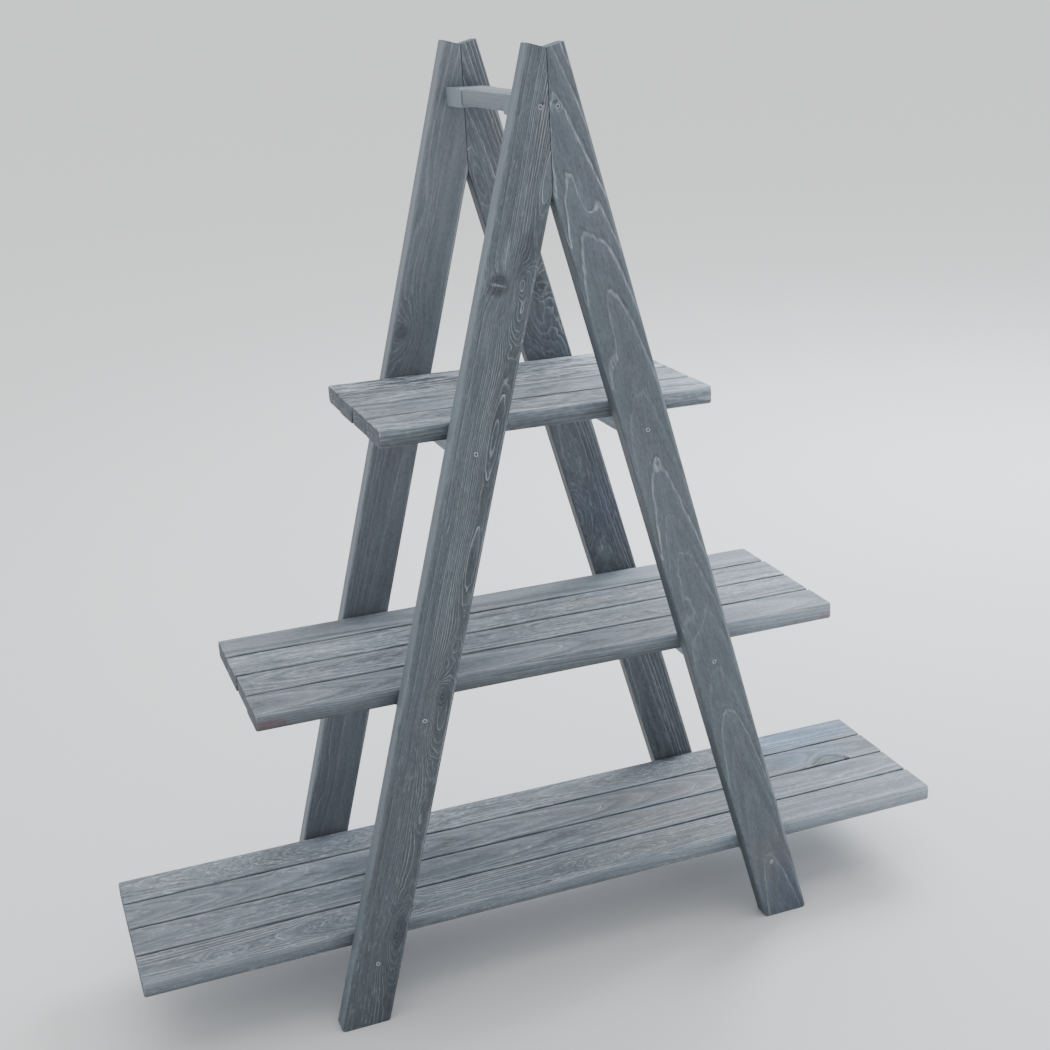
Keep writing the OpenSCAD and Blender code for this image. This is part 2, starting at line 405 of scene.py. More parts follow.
def edge_marks_group():
    """Where a board's long edges are worn pale and carry a painted highlight, its narrow sides and how low
    down them, and its sawn ends.
    """
    sheet, into, leaving = start_group(
        "edge_wear", "Place, Facing, Width, Thickness, Edge, Wear, Worn side, Upper, Seed",
        "Rubbed, Side, Far, Low, Sawn")
    _, across, deep = sheet.split(into.place)

    def near_rim(offset, size):
        """1 where a place lies on the rounding of an edge, seen across one of the board's measures."""
        half = size * 0.5
        return sheet.smooth(abs(offset), half - into.edge * 1.2, half - into.edge * 0.25)

    side, face = near_rim(across, into.width), near_rim(deep, into.thickness)
    patchy = sheet.smooth(sheet.noise(into.place, "rubbed spots", into.seed, 3.0, 0.6), 0.42, 0.6)
    facing_along, facing_across, facing_through = sheet.split(into.facing)
    turned = abs(facing_across)
    start = sheet.smooth(turned, 0.04, 0.14) * sheet.smooth(turned, 0.34, 0.2)
    ending = sheet.smooth(turned, 0.6, 0.74) * sheet.smooth(turned, 0.92, 0.82)
    worn_side = sheet.smooth(facing_across * into.worn_side, -0.05, 0.05)
    # pale lines on the rounding of one long edge: worn, and a painted highlight
    lined = (start + ending * 0.6) * (patchy * 0.85 + 0.15) * worn_side
    upper = sheet.smooth(facing_through * into.upper, -0.2, 0.2)
    low = sheet.larger(0.5 + deep * into.upper * -1.0 / into.thickness, 0.0)
    sheet.feed(leaving, {
        "Rubbed": (lined + side * face * patchy * 0.3) * upper * into.wear,
        "Side": sheet.smooth(turned, 0.2, 1.0), "Far": sheet.smooth(facing_across, -0.1, 0.1),
        "Low": low * side, "Sawn": sheet.smooth(abs(facing_along), 0.75, 0.92)})
    return sheet.tree


def fibre_group():
    """What brushing leaves between the rings: streaks, torn pale flecks and fine dark checks."""
    sheet, into, leaving = start_group(
        "brushed_fibre", "Place, Coarse, Torn, Checks, Seed", "Cloud, Streak, Fleck, Check")
    seed = into.seed
    place = sheet.vector_math("MULTIPLY", into.place, sheet.grey(1.0 / into.coarse))
    broad = sheet.noise(place, "broad streak", seed + 1.0, 3.0, 0.6)
    narrow = sheet.noise(place, "narrow streak", seed + 2.0, 2.0, 0.6)
    ripple = sheet.noise(place, "ripple", seed + 4.0, 2.0, 0.6)
    torn = sheet.noise(place, "torn", seed + 6.0, 3.0, 0.7, 0.5)
    where = sheet.smooth(sheet.noise(place, "areas", seed + 7.0), 0.4, 0.56)
    vein = abs(sheet.noise(place, "vein", seed + 8.0, 1.0) - 0.5)
    open_here = sheet.smooth(sheet.noise(place, "open veins", seed + 9.0), 0.54, 0.62)
    sheet.feed(leaving, {
        "Cloud": sheet.noise(into.place, "cloud", seed, 3.0, 0.55),
        "Streak": broad * 0.28 + narrow * 0.32 + ripple * 0.4,
        "Fleck": sheet.smooth(torn, 0.52, 0.68) * where * into.torn,
        "Check": sheet.smooth(vein, 0.03, 0.006) * open_here * into.checks})
    return sheet.tree


BARE_WOOD = (0.21, 0.165, 0.135, 1.0)
CRACK = (0.03, 0.034, 0.04, 1.0)
KNOT_HEART = (0.045, 0.042, 0.045, 1.0)
KNOT_BARK = (0.028, 0.025, 0.030, 1.0)
COOL_HUE = (0.98, 1.005, 1.0, 1.0)
ROSY_HUE = (1.035, 0.99, 1.012, 1.0)
STREAK_SWING, CLOUD_SWING = 1.9, 0.6  # how far each of them lightens or darkens the stain
BAND_SWING, YEAR_SWING = 1.0, 0.7
DARKEST = 0.3


def stain_and_shade_group():
    """The stain: colour, sheen and relief of brushed wood from its rings, fibres, knots and worn edges, with
    painted light and shade on the narrow sides, towards the foot and in the grooves, and a painted highlight
    along the worn edges.
    """
    sheet, into, leaving = start_group(
        "thin_stain",
        "Place, Stain, Pale line, Line, Groove, Band, Year, Cloud, Streak, Fleck, Check, Heart, Rim, "
        "Rubbed, Side, Far, Low, Sawn, Boldness, Bold side, Broken, Contrast, Banding, Side tone, "
        "Far tone, Side rise, Low tone, End tone, Foot tone, Foot boldness, Foot reach, Warmth, Seed",
        "Colour, Roughness, Height")
    place, seed, reach = into.place, into.seed, into.foot_reach
    along, across, _ = sheet.split(place)
    calm = 1.0 - into.side * 0.5

    # the pale lines, broken up, fading towards the foot and bolder on one side of the board
    fading = sheet.smooth(sheet.noise(place, "areas", seed + 9.0), 0.34, 0.6)
    dashes = sheet.smooth(sheet.noise(place, "dashes", seed + 12.0, 3.0, 0.6), 0.42, 0.58)
    sided = 1.0 + into.bold_side * sheet.swing(sheet.smooth(across, -0.022, 0.018), 0.6)
    climb = sheet.smooth(along, reach * 0.1, reach * 0.6)
    patchy = (fading * 0.6 + 0.4) * (1.0 - into.broken * (1.0 - dashes)) * sided * (1.0 - into.side * 0.6)
    patchy = patchy * (climb * (1.0 - into.foot_boldness) + into.foot_boldness)
    line = into.line * into.boldness * patchy
    colour = sheet.blend(line, into.stain, into.pale_line)

    # light and dark: fibres and rings, then painted shade towards the foot, painted light and shade on the
    # narrow sides and low down them, and painted shadow in the grooves beside the lines
    swing = into.contrast * (sheet.swing(into.streak, STREAK_SWING) + sheet.swing(into.cloud, CLOUD_SWING))
    swing = swing + into.banding * (
        sheet.swing(into.band, BAND_SWING) + sheet.swing(into.year, YEAR_SWING))
    # painted shade: darker towards the foot, and darkest over a slat's left half
    foot = sheet.smooth(along, 0.0, reach) * (1.0 - into.foot_shade) + into.foot_shade
    # painted light and shade on the narrow sides, near and far
    side_tone = into.side_tone * (1.0 - into.far) + into.far_tone * into.far
    # painted sheen: the sides get paler along the board
    side_tone = side_tone * (1.0 + into.side_rise * sheet.smooth(along, 0.0, reach * 0.5))
    shade = sheet.larger(swing * calm + 1.0, DARKEST) * foot * (1.0 - into.side * (1.0 - side_tone))
    # painted shade low down the narrow sides
    shade = shade * (1.0 - into.low * (1.0 - into.low_tone))
    # painted shadow in the grooves beside the lines
    shade = shade * (1.0 - into.groove * patchy * into.boldness * 0.5)
    colour = sheet.darken(colour, sheet.grey(shade))

    # hues, and what lies on top of them
    hue = sheet.smooth(sheet.noise(place, "hue", seed + 31.0, 3.0, 0.6), 0.36, 0.64) * calm
    colour = sheet.darken(colour, sheet.blend(hue, COOL_HUE, ROSY_HUE))
    warm = sheet.smooth(sheet.noise(place, "warmth", seed + 23.0), 0.5, 0.78) * into.warmth * calm
    end_grain = sheet.darken(into.stain, sheet.grey(into.end_tone))
    # the worn edges also carry a painted highlight
    for share, over in ((warm, BARE_WOOD), (into.fleck * calm, into.pale_line), (into.check * 0.75, CRACK),
                        (into.heart * 0.62, KNOT_HEART), (into.rim * 0.8, KNOT_BARK),
                        (into.rubbed * 0.55, into.pale_line), (into.sawn * 0.8, end_grain)):
        colour = sheet.blend(share, colour, over)

    relief = line * 0.45 + into.streak * 0.9 + into.fleck * 0.3
    sheet.feed(leaving, {
        "Colour": colour,
        "Roughness": 0.58 - line * 0.12 + sheet.swing(into.streak, 0.2) + into.sawn * 0.2,
        "Height": relief - into.groove * 0.3 - into.check - into.rim * 0.5})
    return sheet.tree


# ---------------------------------------------------------------- the boards' own figure


@dataclass
class Knot:
    """A knot at a place on its board, and how far the rings bend away from it."""

    along: float
    across: float
    radius: float
    reach: float
    bulge: float
    long: float
    dark: float = 1.0


def swelling(along, across, reach, bulge, long):
    """A place where the rings bend as round a knot, without one showing."""
    return Knot(along, across, 0.0, reach, bulge, long)


@dataclass
class Patch:
    """A spot where the stain is paler, darker or of another hue, or where a sheen or shadow is painted."""

    along: float
    across: float
    reach: float
    long: float
    tint: tuple
    ragged: float
    depth: float = None


PALE = (1.32, 1.32, 1.32)
DARK = (0.72, 0.72, 0.74)
NAVY = (0.87, 0.92, 1.02)
RUST = (1.06, 0.99, 0.96)
BROWN = (1.07, 0.99, 0.91)
# painted shadow of the deep holes round the apex screws
SCREW_HOLE_SHADOW = (0.5, 0.5, 0.52)


@dataclass
class Figure:
    """How one board was cut from its trunk, and how its stain took."""

    seed: float
    heart: tuple = (0.0, 0.05)  # where the trunk's middle runs, across the board and through it
    drift: float = 0.0  # how far that middle moves through the board, per metre along it
    swell: float = 0.004
    pace: float = 3.0
    ring: float = 0.003
    waver: float = 0.003
    jitter: float = 0.0008
    line_width: float = 0.0009
    faint: float = 0.0
    boldness: float = 0.7
    bold_side: float = 0.0
    broken: float = 0.5
    contrast: float = 0.5
    banding: float = 0.1
    coarse: float = 1.0
    torn: float = 0.3
    checks: float = 0.4
    warmth: float = 0.1
    # painted light and shade on the narrow sides, near and far, and a painted sheen along them
    side_tone: float = 0.9
    far_tone: float = 0.9
    side_rise: float = 0.0
    end_tone: float = 0.5
    # painted shade: the tone at the foot, darker towards it
    foot_shade: float = 1.0
    foot_boldness: float = 1.0
    tone: float = 1.0
    tint: tuple = (1.0, 1.0, 1.0)
    knots: list = field(default_factory=list)
    patches: list = field(default_factory=list)

    def stained(self, colour):
        """A colour of the stain as this board took it."""
        return tuple(channel * (share * self.tone) for channel, share in zip(colour, self.tint)) + (1.0,)


STAINS = {  # each kind of board's stain, and the paler one on its lines
    "leg": ((0.105, 0.126, 0.146), (0.34, 0.385, 0.42)),
    "slat": ((0.190, 0.222, 0.255), (0.46, 0.51, 0.56)),
    "rail": ((0.225, 0.262, 0.302), (0.42, 0.47, 0.51)),
}
EDGE_MARK_STRENGTH = {"leg": 0.8, "slat": 1.0, "rail": 0.8}  # how much of the edges is worn pale, with a painted highlight on them
WORN_LIT_SIDE = {"leg": 1.0, "slat": -1.0, "rail": -1.0}  # which way across it a board's worn, painted-highlit edge faces
UPPER = {"leg": -1.0, "slat": 1.0, "rail": 1.0}  # which way along its thickness a board's worn, painted-highlit side faces
LOW_SIDE_SHADE = {"leg": 0.75, "slat": 0.43, "rail": 0.8}  # painted shade: the lower part of a side is darker

OUTER_SIDE_SHADING = {"top": 0.82, "middle": 0.88, "bottom": 1.12}  # painted light and shade on the sides that face outwards
INNER_SIDE_SHADE = {"top": 0.30, "middle": 0.42, "bottom": 0.60}  # painted shade on the sides that face the next slat, as the gap's shadow
FRONT_SHEEN = {"top": 0.1, "middle": 0.5, "bottom": 0.6}  # painted sheen: how much paler a shelf's front gets to the right
# foot shade on the slats is painted shade over their left halves, so their right ends look lit
SHELF_STAIN = {
    "top": {"foot_shade": 0.78, "broken": 0.3, "line_width": 0.0016, "coarse": 2.2},
    "middle": {"foot_shade": 0.9, "broken": 0.45, "coarse": 1.3},
    "bottom": {"foot_shade": 0.8, "broken": 0.25},
}
SLAT_END_TONE = 0.26
SLAT_BANDING = 0.16
RIGHT_END_SHEEN = {  # painted sheen: the shelves' right ends are painted paler
    "top": [Patch(0.275, 0.0, 0.16, 1.0, (1.44, 1.44, 1.46), 0.02)],
    "middle": [Patch(0.405, 0.0, 0.22, 1.0, (1.30, 1.30, 1.32), 0.02)],
    "bottom": [],
}


def shelf_figures(shelf, seed, cuts):
    """Figures of a shelf's four slats, from what they share and each one's own cut."""
    figures = {}
    for k, cut in zip(SLATS, cuts):
        sides = {"side_tone": INNER_SIDE_SHADE[shelf], "far_tone": INNER_SIDE_SHADE[shelf]}
        if k == SLATS[0]:
            sides.update(side_tone=OUTER_SIDE_SHADING[shelf], side_rise=FRONT_SHEEN[shelf])
        if k == SLATS[-1]:
            sides.update(far_tone=OUTER_SIDE_SHADING[shelf])
        patches = cut.get("patches", []) + RIGHT_END_SHEEN[shelf]
        settings = {**SHELF_STAIN[shelf], **sides, **cut, "patches": patches}
        figures[f"{shelf}_shelf_slat_{k}"] = Figure(
            seed + k, end_tone=SLAT_END_TONE, banding=SLAT_BANDING, **settings)
    return figures


# side and far shading paint light and shade on the legs' narrow sides; foot shade paints shade towards the
# floor
FIGURES = {
    "front_left_leg": Figure(
        11.0, heart=(0.026, 0.020), drift=-0.004, swell=0.003, pace=2.6, ring=0.0019, waver=0.0012,
        jitter=0.0003, line_width=0.0008, boldness=1.0, bold_side=1.1, broken=0.4, contrast=0.6,
        side_tone=1.95, far_tone=1.0, end_tone=1.3, foot_shade=0.70, foot_boldness=0.55,
        knots=[
            swelling(1.0235, 0.0135, 0.009, -0.012, 1.6), swelling(0.996, 0.0175, 0.021, -0.013, 2.2),
            Knot(1.017, -0.0145, 0.0130, 0.021, 0.009, 1.0), swelling(1.150, 0.0200, 0.010, -0.004, 4.5),
            swelling(0.835, 0.0145, 0.012, -0.007, 6.5), swelling(0.680, 0.0155, 0.012, -0.006, 5.5),
            swelling(0.556, 0.0185, 0.007, -0.005, 1.5),
            swelling(0.490, 0.0125, 0.009, -0.009, 1.8), swelling(0.455, 0.0160, 0.022, -0.013, 2.8),
            swelling(0.312, 0.0150, 0.007, -0.0035, 3.5),
            swelling(0.153, 0.0140, 0.0095, -0.009, 2.0), swelling(0.132, 0.0155, 0.022, -0.012, 2.5)],
        patches=[
            Patch(1.150, 0.0190, 0.008, 4.5, PALE, 0.5), Patch(1.055, 0.012, 0.014, 2.4, DARK, 0.3),
            Patch(1.055, -0.013, 0.0055, 4.0, PALE, 0.25), Patch(0.960, -0.0175, 0.005, 7.0, PALE, 0.25),
            Patch(1.0235, -0.0150, 0.0075, 0.8, DARK, 0.2), Patch(1.0105, -0.0145, 0.0075, 0.7, DARK, 0.2),
            Patch(0.85, 0.018, 0.007, 6.0, DARK, 0.2),
            Patch(1.0168, -0.0150, 0.0125, 0.16, (2.1, 2.05, 2.05), 0.25),
            Patch(1.2285, -0.004, 0.006, 1.0, PALE, 0.8),
            Patch(1.2335, -0.003, 0.0035, 0.6, SCREW_HOLE_SHADOW, 0.3), Patch(0.485, 0.018, 0.010, 1.8, DARK, 0.3),
            Patch(0.145, 0.020, 0.010, 2.5, DARK, 0.3), Patch(0.66, 0.020, 0.007, 6.0, DARK, 0.3)]),
    "front_right_leg": Figure(
        23.0, heart=(0.0, 0.0844), drift=0.030, swell=0.001, pace=2.4, ring=0.0026, waver=0.0018,
        line_width=0.0018, faint=0.2, boldness=0.8, broken=0.65, contrast=0.55, banding=0.05,
        side_tone=0.70, far_tone=1.3, end_tone=1.3, tone=1.16, foot_shade=0.83, foot_boldness=0.5,
        torn=0.1, checks=0.1, warmth=0.05,
        knots=[
            swelling(0.535, -0.008, 0.014, 0.003, 2.6), swelling(1.115, 0.006, 0.010, 0.002, 4.0),
            swelling(0.92, -0.010, 0.012, 0.002, 5.0)],
        patches=[
            Patch(0.10, 0.0, 0.03, 2.0, RUST, 0.8), Patch(0.03, 0.02, 0.03, 2.0, NAVY, 0.8),
            Patch(1.12, 0.006, 0.006, 5.0, (1.12, 1.12, 1.12), 1.0),
            Patch(1.2290, 0.002, 0.007, 1.0, PALE, 1.0),
            Patch(1.2345, 0.003, 0.0035, 0.6, SCREW_HOLE_SHADOW, 0.3)]),
    "back_left_leg": Figure(
        37.0, heart=(0.030, 0.090), drift=0.010, swell=0.003, pace=2.0, ring=0.0034, waver=0.0015,
        jitter=0.0005, boldness=0.22, contrast=0.45, banding=0.05, side_tone=1.35, end_tone=1.0, tone=1.62,
        tint=(1.02, 0.97, 0.95), foot_shade=0.76, torn=0.05, checks=0.1,
        knots=[
            swelling(0.902, -0.0215, 0.008, 0.007, 1.3), swelling(0.900, -0.0225, 0.021, 0.015, 1.8),
            swelling(1.08, -0.020, 0.009, 0.004, 5.0), swelling(0.22, -0.015, 0.010, 0.004, 6.0)],
        patches=[Patch(0.902, -0.0215, 0.010, 1.3, (0.78, 0.78, 0.80), 0.3)]),
    "back_right_leg": Figure(
        41.0, heart=(-0.014, 0.060), drift=0.012, swell=0.003, pace=2.4, ring=0.0022, waver=0.0022,
        jitter=0.0007, side_tone=0.5, far_tone=1.2, end_tone=1.0, tone=1.23,
        tint=(1.03, 0.98, 0.97), foot_shade=0.9,
        knots=[
            Knot(0.952, 0.017, 0.010, 0.020, 0.012, 1.2), swelling(0.905, 0.0, 0.022, 0.012, 2.4),
            swelling(0.59, -0.028, 0.022, 0.012, 2.2), swelling(1.115, -0.019, 0.009, 0.005, 4.5)],
        patches=[Patch(0.60, 0.006, 0.030, 2.2, NAVY, 0.8), Patch(0.52, -0.010, 0.010, 1.8, PALE, 0.6)]),
    **shelf_figures("bottom", 50.0, [
        dict(heart=(-0.004, -0.050), drift=0.004, swell=0.003, pace=2.2, ring=0.0019, waver=0.0012,
             jitter=0.0003, boldness=1.0, contrast=0.80, torn=0.6, broken=0.15, tone=1.18,
             knots=[
                 swelling(-0.493, -0.015, 0.012, -0.008, 1.8), swelling(-0.300, 0.004, 0.028, -0.014, 2.4),
                 swelling(0.050, -0.015, 0.014, -0.013, 1.6), swelling(0.085, -0.012, 0.024, -0.011, 3.0)],
             patches=[
                 Patch(-0.493, -0.014, 0.010, 1.8, PALE, 1.0),
                 Patch(0.0, -0.014, 0.014, 2.2, (0.88, 0.87, 0.88), 0.6),
                 Patch(0.19, 0.0, 0.03, 4.5, BROWN, 0.5)]),
        dict(heart=(0.012, -0.090), drift=-0.014, swell=0.003, pace=2.6, ring=0.0027, waver=0.004,
             jitter=0.0012, boldness=0.54, contrast=0.54, torn=0.6, tone=1.13,
             patches=[
                 Patch(-0.056, 0.0, 0.006, 1.2, PALE, 0.4), Patch(-0.030, 0.001, 0.005, 1.2, PALE, 0.4),
                 Patch(0.02, -0.008, 0.012, 3.0, PALE, 0.9), Patch(-0.20, 0.0, 0.03, 4.0, DARK, 0.8),
                 Patch(0.20, 0.0, 0.03, 4.5, BROWN, 0.5)]),
        dict(heart=(0.0, -0.110), drift=-0.030, swell=0.003, pace=2.0, ring=0.0024, waver=0.002,
             boldness=0.76, contrast=0.54, torn=0.35, tone=1.15,
             knots=[
                 Knot(-0.365, 0.024, 0.004, 0.014, -0.008, 1.6),
                 Knot(0.508, -0.036, 0.026, 0.030, 0.008, 1.15, 0.32)],
             patches=[
                 Patch(-0.355, 0.022, 0.012, 2.0, PALE, 1.0), Patch(-0.22, -0.01, 0.03, 4.0, DARK, 0.7),
                 Patch(0.22, 0.0, 0.03, 4.0, BROWN, 0.5),
                 Patch(0.47, 0.01, 0.03, 3.5, (0.87, 0.99, 1.14), 0.5),
                 Patch(0.5365, -0.031, 0.0045, 1.3, (0.42, 0.36, 0.37), 0.4),
                 Patch(0.508, -0.036, 0.028, 1.15, (0.62, 0.69, 0.70), 0.1)]),
        dict(heart=(0.006, -0.090), drift=0.010, swell=0.006, pace=2.6, ring=0.0020, waver=0.0008,
             jitter=0.0004, boldness=0.95, contrast=0.87, torn=0.7, checks=0.7, tone=1.16,
             knots=[
                 swelling(-0.320, 0.002, 0.048, -0.022, 2.5), Knot(0.276, 0.026, 0.007, 0.026, -0.012, 1.6),
                 swelling(0.235, -0.002, 0.030, -0.014, 2.6)],
             patches=[Patch(0.50, 0.0, 0.035, 3.4, (0.80, 0.97, 1.22), 0.6)]),
    ]),
    **shelf_figures("middle", 60.0, [
        dict(heart=(-0.002, -0.120), drift=-0.028, swell=0.002, pace=2.0, ring=0.0030, waver=0.0016,
             boldness=0.75, contrast=0.74, torn=0.2, tone=1.12,
             patches=[
                 Patch(-0.400, -0.033, 0.012, 2.4, (1.12, 0.74, 0.72), 0.4, -0.008),
                 Patch(0.405, -0.033, 0.007, 1.6, (1.10, 0.84, 0.84), 0.4, -0.004)]),
        dict(heart=(0.004, -0.050), drift=0.016, swell=0.006, ring=0.0031, waver=0.004,
             jitter=0.0018, boldness=0.90, contrast=1.09, torn=0.6, checks=0.9, tone=1.14,
             knots=[swelling(-0.045, 0.004, 0.012, 0.005, 3.6), swelling(0.155, -0.004, 0.012, 0.006, 3.0)]),
        dict(heart=(-0.004, -0.080), drift=0.010, pace=2.8, ring=0.0033, waver=0.005,
             jitter=0.0018, boldness=0.75, contrast=1.01, torn=0.9, checks=0.8, tone=1.16,
             knots=[swelling(-0.178, -0.012, 0.012, 0.008, 1.3)],
             patches=[
                 Patch(0.10, 0.0, 0.018, 1.8, (1.12, 1.05, 0.92), 0.9),
                 Patch(-0.06, -0.006, 0.012, 2.4, PALE, 1.2), Patch(-0.30, 0.0, 0.014, 3.0, PALE, 1.2)]),
        dict(heart=(0.010, -0.150), drift=0.006, swell=0.002, pace=2.0, ring=0.0037, waver=0.002,
             boldness=0.38, contrast=0.57, torn=0.15, tone=1.14),
    ]),
    **shelf_figures("top", 70.0, [
        dict(heart=(0.006, -0.080), drift=0.020, swell=0.003, ring=0.0045, waver=0.002, jitter=0.0010,
             boldness=0.94, contrast=1.59, torn=0.45, tone=1.34),
        dict(heart=(-0.012, -0.120), drift=0.010, swell=0.003, ring=0.0050, waver=0.002, jitter=0.0010,
             boldness=0.63, contrast=1.25, torn=0.30, tone=1.39),
        dict(heart=(0.0, -0.060), drift=-0.030, ring=0.0040, jitter=0.0014,
             boldness=1.00, contrast=1.92, torn=0.75, checks=0.8, tone=1.39),
        dict(heart=(0.002, -0.050), drift=-0.024, swell=0.006, ring=0.0045, waver=0.005, jitter=0.0030,
             boldness=1.00, contrast=2.24, torn=1.00, checks=0.9, tone=1.39),
    ]),
}
FIRST_CHANCE_SEED = 100


def chance_figure(seed):
    """A figure drawn at random for a board that has none of its own, the same in each run."""
    draw = random.Random(seed)
    return Figure(
        float(seed), heart=(draw.uniform(-0.02, 0.02), -draw.uniform(0.03, 0.09)),
        drift=draw.uniform(-0.02, 0.02), swell=draw.uniform(0.002, 0.005), pace=draw.uniform(2.0, 4.0),
        ring=draw.uniform(0.0025, 0.004), waver=draw.uniform(0.001, 0.003),
        jitter=draw.uniform(0.0006, 0.0014), boldness=draw.uniform(0.12, 0.3),
        contrast=draw.uniform(0.35, 0.6), side_tone=1.0, end_tone=0.92, tone=draw.uniform(1.04, 1.16))


# ---------------------------------------------------------------- finishes

SMALLEST_RADIUS = 1e-5
PATCH_SEED = 50.0
BRUSHED_DEPTH = 0.0006
ZINC_IN_RECESS = (0.050, 0.058, 0.066, 1.0)
ZINC_WORN = (0.38, 0.41, 0.43, 1.0)


def own(thing, labels):
    """A thing's own values, for sockets that are labelled as its values are named."""
    return {label: getattr(thing, value_name(label)) for label in labels.split(", ")}


def start_material(name):
    material = bpy.data.materials.new(name)
    material.use_nodes = True
    material.node_tree.nodes.clear()
    return material, Sheet(material.node_tree)


def surface(sheet, inputs):
    """End a material in one shader."""
    shader = sheet.lay("ShaderNodeBsdfPrincipled", inputs)
    sheet.node("ShaderNodeOutputMaterial", {"Surface": shader})


def wood(board, figure, groups):
    """The finish of one board."""
    material, sheet = start_material(f"stained_{board.name}")
    coordinates = sheet.node("ShaderNodeTexCoord")
    turn = board.turn().to_euler("XYZ")
    mapped = {"Vector": sheet.out(coordinates, "Object"), "Location": board.shift(), "Rotation": turn}
    place = sheet.lay("ShaderNodeMapping", mapped, vector_type="POINT")
    turned = {"Vector": sheet.out(coordinates, "Normal"), "Rotation": turn}
    facing = sheet.lay("ShaderNodeMapping", turned, vector_type="VECTOR")
    bent = {"Push": 0.0, "Heart": 0.0, "Rim": 0.0}
    for number, knot in enumerate(figure.knots):
        bent = sheet.group(groups["knot"], {
            "Place": place, **own(knot, "Along, Across, Long, Reach, Bulge, Dark"),
            "Radius": max(knot.radius, SMALLEST_RADIUS), "Seed": figure.seed + number, **bent})
    rings = sheet.group(groups["rings"], {
        "Place": place, "Facing": facing, "Heart across": figure.heart[0], "Heart depth": figure.heart[1],
        **own(figure, "Drift, Swell, Pace, Ring, Waver, Jitter, Line width, Faint, Seed"),
        "Push": bent["Push"]})
    wear = sheet.group(groups["wear"], {
        "Place": place, "Facing": facing, **own(board, "Width, Thickness, Edge"),
        "Wear": EDGE_MARK_STRENGTH[board.kind], "Worn side": WORN_LIT_SIDE[board.kind], "Upper": UPPER[board.kind],
        "Seed": figure.seed})
    fibre = sheet.group(groups["fibre"], {
        "Place": rings.pop("Fibre place"), **own(figure, "Coarse, Torn, Checks, Seed")})
    stained, pale = STAINS[board.kind]
    stain = sheet.group(groups["stain"], {
        "Place": place, **rings, **fibre, **wear, "Heart": bent["Heart"], "Rim": bent["Rim"],
        "Stain": figure.stained(stained), "Pale line": figure.stained(pale),
        "Low tone": LOW_SIDE_SHADE[board.kind], "Foot reach": board.length,
        **own(figure, "Boldness, Bold side, Broken, Contrast, Banding, Side tone, Far tone, Side rise"),
        **own(figure, "End tone, Foot tone, Foot boldness, Warmth, Seed")})
    colour = stain["Colour"]
    for number, patch in enumerate(figure.patches):
        colour = sheet.group(groups["patch"], {
            "Colour": colour, "Place": place, **own(patch, "Along, Across, Reach, Long, Ragged"),
            "Depth": patch.depth or 0.0, "Depth share": 0.0 if patch.depth is None else 1.0,
            "Tint": patch.tint + (1.0,), "Seed": figure.seed + PATCH_SEED + number})["Colour"]
    relief = sheet.lay("ShaderNodeBump", {
        "Strength": 0.55, "Distance": BRUSHED_DEPTH, "Height": stain["Height"]})
    surface(sheet, {"Base Color": colour, "Roughness": stain["Roughness"], "Normal": relief,
                    "Specular IOR Level": 0.4})
    return material


def metal():
    """Zinc-plated steel of the screws."""
    material, sheet = start_material("zinc_plate")
    place = sheet.out(sheet.node("ShaderNodeTexCoord"), "Object")
    mottle = sheet.noise(place, "mottle", 3.0)
    outward = sheet.out(sheet.node("ShaderNodeAttribute", attribute_name="outward"), "Fac")
    worn = sheet.smooth(outward, 0.3, 0.55) * sheet.smooth(outward, 1.02, 0.78) * (mottle * 0.8 + 0.6)
    surface(sheet, {"Base Color": sheet.blend(worn, ZINC_IN_RECESS, ZINC_WORN),
                    "Roughness": sheet.spread(mottle, 0.4, 0.6), "Metallic": worn * 0.5})
    return material


# ---------------------------------------------------------------- shapes by rule

CORNER_STEPS, MIDDLE_STEPS = 7.0, 40.0  # outlines round a slat's corner, and from there to its middle
EDGE_STEPS = 6
PROFILE_SIDE = -1.0  # a swept outline's own x runs towards the front
SHANK_DETAIL = 24
THREAD_STEPS = 10
LOBES, STAR_STEPS = 6, 48
STAR_INNER, STAR_OUTER = 0.34, 0.56  # of the head's radius
CORE, PLAIN, POINT = 0.74, 0.34, 1.5  # shares of the shank's radius, the length and the shank's width
STEM_LAP = 0.0003
TIP_RADIUS = 0.00005


def shape_group(name, inputs):
    """A tree that makes a shape; it ends in Realize Instances and Set Material."""
    return start_group(name, f"Geometry, {inputs}, Finish", "Geometry", "GeometryNodeTree")


def finish_shape(sheet, into, leaving, shape):
    whole = sheet.lay("GeometryNodeRealizeInstances", {0: shape})
    done = sheet.lay("GeometryNodeSetMaterial", {"Geometry": whole, "Material": into.finish})
    sheet.feed(leaving, {"Geometry": done})
    return sheet.tree


def moved(sheet, shape, z):
    offset = sheet.vector(0.0, 0.0, z)
    return sheet.lay("GeometryNodeTransform", {"Geometry": shape, "Translation": offset})


def joined(sheet, *shapes):
    made = sheet.node("GeometryNodeJoinGeometry")
    for shape in shapes:
        sheet.plug(made.inputs[0], shape)
    return sheet.out(made)


def sweep(sheet, path, profile):
    return sheet.lay("GeometryNodeCurveToMesh", {"Curve": path, "Profile Curve": profile, "Fill Caps": True})


def placed_at(sheet, shape, place):
    return sheet.lay("GeometryNodeSetPosition", {"Geometry": shape, "Position": place})


